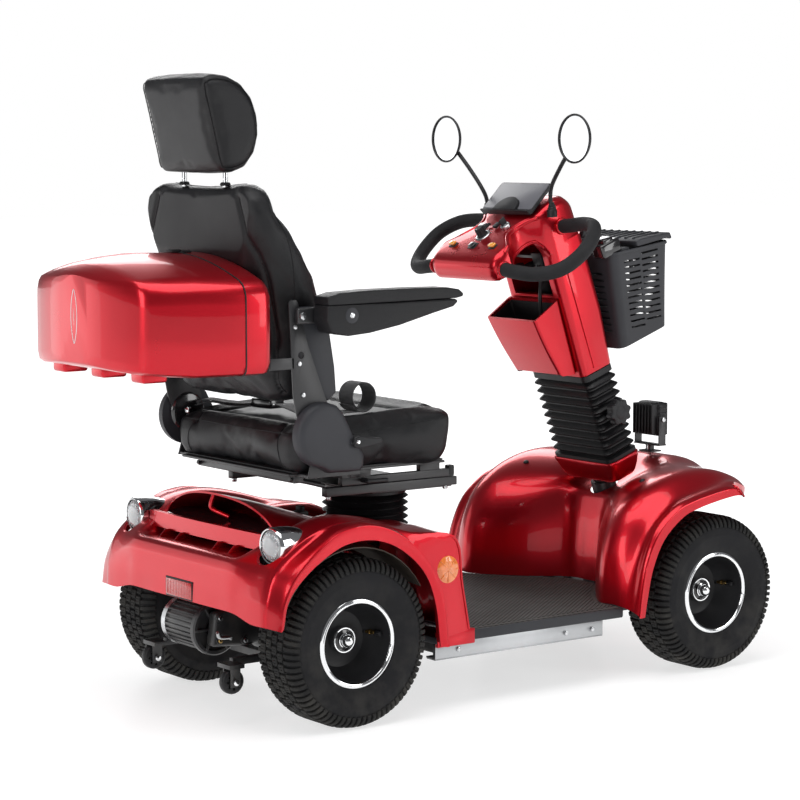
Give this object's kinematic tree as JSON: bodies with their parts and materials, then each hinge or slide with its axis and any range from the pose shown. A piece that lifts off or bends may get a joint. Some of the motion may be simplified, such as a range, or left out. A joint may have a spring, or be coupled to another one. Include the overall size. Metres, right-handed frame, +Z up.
{
  "type": "mobility scooter",
  "caption": "Four-wheel mobility scooter with a swivelling captain seat, rear luggage case, tilting tiller with loop handles, round mirrors and a lidded front basket.",
  "frame": {"origin": "centre of the bounding box in plan, on the floor", "axes": "+X forward along the travel direction, +Y to the rider's left, +Z up"},
  "size_m": [1.581, 0.67, 1.25],
  "materials": {
    "red_gloss_plastic": "deep metallic red with clear gloss",
    "black_frame_paint": "satin black powder coat",
    "black_plastic": "fine grained black plastic",
    "grey_plastic": "dark grey moulded plastic",
    "black_rubber": "matt black rubber",
    "tyre_rubber": "matt tyre rubber with turf blocks",
    "black_leather": "black synthetic leather",
    "chrome": "polished chrome",
    "foam": "soft foam grip",
    "amber_plastic": "translucent amber",
    "belt_webbing": "woven black webbing",
    "rim_black": "gloss black rim with bright flange"
  },
  "bodies": {
    "chassis": {"chassis_frame": "black_frame_paint", "floor_pan": "grey_plastic", "floor_mat": "black_rubber", "rear_body_shell": "red_gloss_plastic", "front_body_shell": "red_gloss_plastic", "battery_pack": "black_plastic", "left_rear_lamp": "chrome", "right_rear_lamp": "chrome", "headlamp_bracket": "chrome", "anti_tip_frame": "black_frame_paint", "drive_unit": "black_frame_paint", "seat_gaiter": "black_rubber"},
    "rear_left_wheel": {"rear_left_rim": "rim_black", "rear_left_tyre": "tyre_rubber"},
    "rear_right_wheel": {"rear_right_rim": "rim_black", "rear_right_tyre": "tyre_rubber"},
    "front_left_wheel": {"front_left_rim": "rim_black", "front_left_tyre": "tyre_rubber"},
    "front_right_wheel": {"front_right_rim": "rim_black", "front_right_tyre": "tyre_rubber"},
    "left_steering_knuckle": {"left_knuckle": "black_frame_paint"},
    "right_steering_knuckle": {"right_knuckle": "black_frame_paint"},
    "steering_tie_rod": {"tie_rod": "black_frame_paint"},
    "steering": {"steering_column": "red_gloss_plastic", "tiller_gaiter": "black_rubber"},
    "tiller": {"tilt_mast": "black_frame_paint", "tiller_cover": "red_gloss_plastic", "left_hand_grip": "foam", "right_hand_grip": "foam", "storage_bin": "red_gloss_plastic", "display_holder": "grey_plastic", "basket": "grey_plastic"},
    "tilt_lock": {"tilt_knob": "black_plastic"},
    "speed_dial": {"speed_knob": "black_plastic"},
    "left_indicator": {"left_indicator_button": "amber_plastic"},
    "right_indicator": {"right_indicator_button": "amber_plastic"},
    "horn": {"horn_button": "black_plastic"},
    "key": {"key_switch": "black_plastic"},
    "throttle": {"throttle_lever": "black_plastic"},
    "left_mirror_arm": {"left_mirror": "black_plastic"},
    "right_mirror_arm": {"right_mirror": "black_plastic"},
    "basket_cover": {"basket_lid": "grey_plastic"},
    "post": {"seat_post": "black_frame_paint"},
    "slide_base": {"seat_slide_base": "black_frame_paint"},
    "seat": {"seat_frame": "black_frame_paint", "seat_cushion": "black_leather", "lap_belt_left": "belt_webbing", "lap_belt_right": "belt_webbing"},
    "slide_release": {"seat_slide_lever": "black_plastic"},
    "recline_release": {"recline_lever": "black_plastic"},
    "backrest": {"backrest_frame": "black_frame_paint", "backrest_cushion": "black_leather", "rear_case_base": "black_plastic"},
    "case_cover": {"rear_case_cover": "red_gloss_plastic"},
    "head_support": {"headrest": "black_leather"},
    "left_arm": {"left_armrest": "black_leather"},
    "right_arm": {"right_armrest": "black_leather"},
    "lamp": {"headlamp": "black_frame_paint"},
    "left_tip_wheel": {"left_anti_tip_wheel": "black_rubber"},
    "right_tip_wheel": {"right_anti_tip_wheel": "black_rubber"}
  },
  "joints": [
    {"name": "rear_left_wheel_spin", "type": "hinge", "parent": "chassis", "child": "rear_left_wheel", "pos_m": [-0.3595, 0.263, 0.165], "axis": [0, 1, 0], "continuous": true},
    {"name": "rear_right_wheel_spin", "type": "hinge", "parent": "chassis", "child": "rear_right_wheel", "pos_m": [-0.3595, -0.263, 0.165], "axis": [0, 1, 0], "continuous": true},
    {"name": "left_knuckle_turn", "type": "hinge", "parent": "chassis", "child": "left_steering_knuckle", "pos_m": [0.5725, 0.166, 0.165], "axis": [0, 0, 1], "range_deg": [-25.1, 25.1]},
    {"name": "front_left_wheel_spin", "type": "hinge", "parent": "left_steering_knuckle", "child": "front_left_wheel", "pos_m": [0.5725, 0.263, 0.165], "axis": [0, 1, 0], "continuous": true},
    {"name": "right_knuckle_turn", "type": "hinge", "parent": "chassis", "child": "right_steering_knuckle", "pos_m": [0.5725, -0.166, 0.165], "axis": [0, 0, 1], "range_deg": [-25.1, 25.1]},
    {"name": "front_right_wheel_spin", "type": "hinge", "parent": "right_steering_knuckle", "child": "front_right_wheel", "pos_m": [0.5725, -0.263, 0.165], "axis": [0, 1, 0], "continuous": true},
    {"name": "tie_rod_shift", "type": "slide", "parent": "chassis", "child": "steering_tie_rod", "axis": [0, 1, 0], "range_m": [-0.0265, 0.0265]},
    {"name": "steering_turn", "type": "hinge", "parent": "chassis", "child": "steering", "pos_m": [0.5025, 0, 0.44], "axis": [-0.3469, 0, 0.9379], "range_deg": [-40, 40]},
    {"name": "tiller_tilt", "type": "hinge", "parent": "steering", "child": "tiller", "pos_m": [0.46503, 0, 0.54129], "axis": [0, 1, 0], "range_deg": [-18, 10], "deforming": ["tiller_gaiter"]},
    {"name": "tilt_knob_turn", "type": "hinge", "parent": "steering", "child": "tilt_lock", "pos_m": [0.46503, -0.1, 0.54129], "axis": [0, 1, 0], "range_deg": [-120, 120]},
    {"name": "speed_knob_turn", "type": "hinge", "parent": "tiller", "child": "speed_dial", "pos_m": [0.18471, 0, 0.92578], "axis": [-0.615, 0, 0.7885], "range_deg": [-135, 135]},
    {"name": "left_indicator_press", "type": "slide", "parent": "tiller", "child": "left_indicator", "axis": [0.615, 0, -0.7885], "range_m": [0, 0.0009], "stiffness_N_per_m": 400},
    {"name": "right_indicator_press", "type": "slide", "parent": "tiller", "child": "right_indicator", "axis": [0.615, 0, -0.7885], "range_m": [0, 0.0009], "stiffness_N_per_m": 400},
    {"name": "horn_press", "type": "slide", "parent": "tiller", "child": "horn", "axis": [0.615, 0, -0.7885], "range_m": [0, 0.0009], "stiffness_N_per_m": 400},
    {"name": "key_turn", "type": "hinge", "parent": "tiller", "child": "key", "pos_m": [0.21119, -0.042, 0.94643], "axis": [-0.615, 0, 0.7885], "range_deg": [0, 60]},
    {"name": "throttle_pull", "type": "hinge", "parent": "tiller", "child": "throttle", "pos_m": [0.2865, 0, 0.84523], "axis": [-0.3469, 0, 0.9379], "range_deg": [-12, 12], "stiffness_Nm_per_rad": 2},
    {"name": "left_mirror_turn", "type": "hinge", "parent": "tiller", "child": "left_mirror_arm", "pos_m": [0.2865, 0.108, 0.976], "axis": [0, 0, 1], "range_deg": [-20, 20]},
    {"name": "right_mirror_turn", "type": "hinge", "parent": "tiller", "child": "right_mirror_arm", "pos_m": [0.2865, -0.108, 0.976], "axis": [0, 0, 1], "range_deg": [-20, 20]},
    {"name": "basket_lid_open", "type": "hinge", "parent": "tiller", "child": "basket_cover", "pos_m": [0.49803, 0, 0.90749], "axis": [0, -1, 0], "range_deg": [0, 100]},
    {"name": "seat_height", "type": "slide", "parent": "chassis", "child": "post", "axis": [0, 0, 1], "range_m": [-0.018, 0.04], "deforming": ["seat_gaiter"]},
    {"name": "seat_swivel", "type": "hinge", "parent": "post", "child": "slide_base", "pos_m": [-0.1185, 0, 0.424], "axis": [0, 0, 1], "range_deg": [-50, 50]},
    {"name": "seat_slide", "type": "slide", "parent": "slide_base", "child": "seat", "axis": [1, 0, 0], "range_m": [-0.06, 0.06]},
    {"name": "slide_lever_lift", "type": "hinge", "parent": "seat", "child": "slide_release", "pos_m": [-0.2555, -0.182, 0.458], "axis": [-1, 0, 0], "range_deg": [0, 8], "stiffness_Nm_per_rad": 1},
    {"name": "recline_lever_lift", "type": "hinge", "parent": "seat", "child": "recline_release", "pos_m": [-0.3285, -0.265, 0.545], "axis": [0, -1, 0], "range_deg": [0, 25], "stiffness_Nm_per_rad": 1},
    {"name": "backrest_recline", "type": "hinge", "parent": "seat", "child": "backrest", "pos_m": [-0.3945, 0, 0.562], "axis": [0, 1, 0], "range_deg": [-20, 8]},
    {"name": "case_cover_open", "type": "hinge", "parent": "backrest", "child": "case_cover", "pos_m": [-0.5655, 0, 0.68], "axis": [0, -1, 0], "range_deg": [0, 70]},
    {"name": "headrest_slide", "type": "slide", "parent": "backrest", "child": "head_support", "axis": [0, 0, 1], "range_m": [-0.012, 0.05]},
    {"name": "left_armrest_lift", "type": "hinge", "parent": "backrest", "child": "left_arm", "pos_m": [-0.4345, 0.245, 0.791], "axis": [0, -1, 0], "range_deg": [0, 95]},
    {"name": "right_armrest_lift", "type": "hinge", "parent": "backrest", "child": "right_arm", "pos_m": [-0.4345, -0.245, 0.791], "axis": [0, -1, 0], "range_deg": [0, 95]},
    {"name": "headlamp_tilt", "type": "hinge", "parent": "chassis", "child": "lamp", "pos_m": [0.6665, 0, 0.506], "axis": [0, 1, 0], "range_deg": [-20, 20]},
    {"name": "left_anti_tip_spin", "type": "hinge", "parent": "chassis", "child": "left_tip_wheel", "pos_m": [-0.5385, 0.146, 0.086], "axis": [0, 1, 0], "continuous": true},
    {"name": "right_anti_tip_spin", "type": "hinge", "parent": "chassis", "child": "right_tip_wheel", "pos_m": [-0.5385, -0.146, 0.086], "axis": [0, 1, 0], "continuous": true}
  ],
  "couplings": [
    {"joint": "left_knuckle_turn", "follows": "steering_turn", "ratio": 0.625},
    {"joint": "right_knuckle_turn", "follows": "steering_turn", "ratio": 0.625},
    {"joint": "tie_rod_shift", "follows": "steering_turn", "m_per_rad": -0.0375}
  ]
}
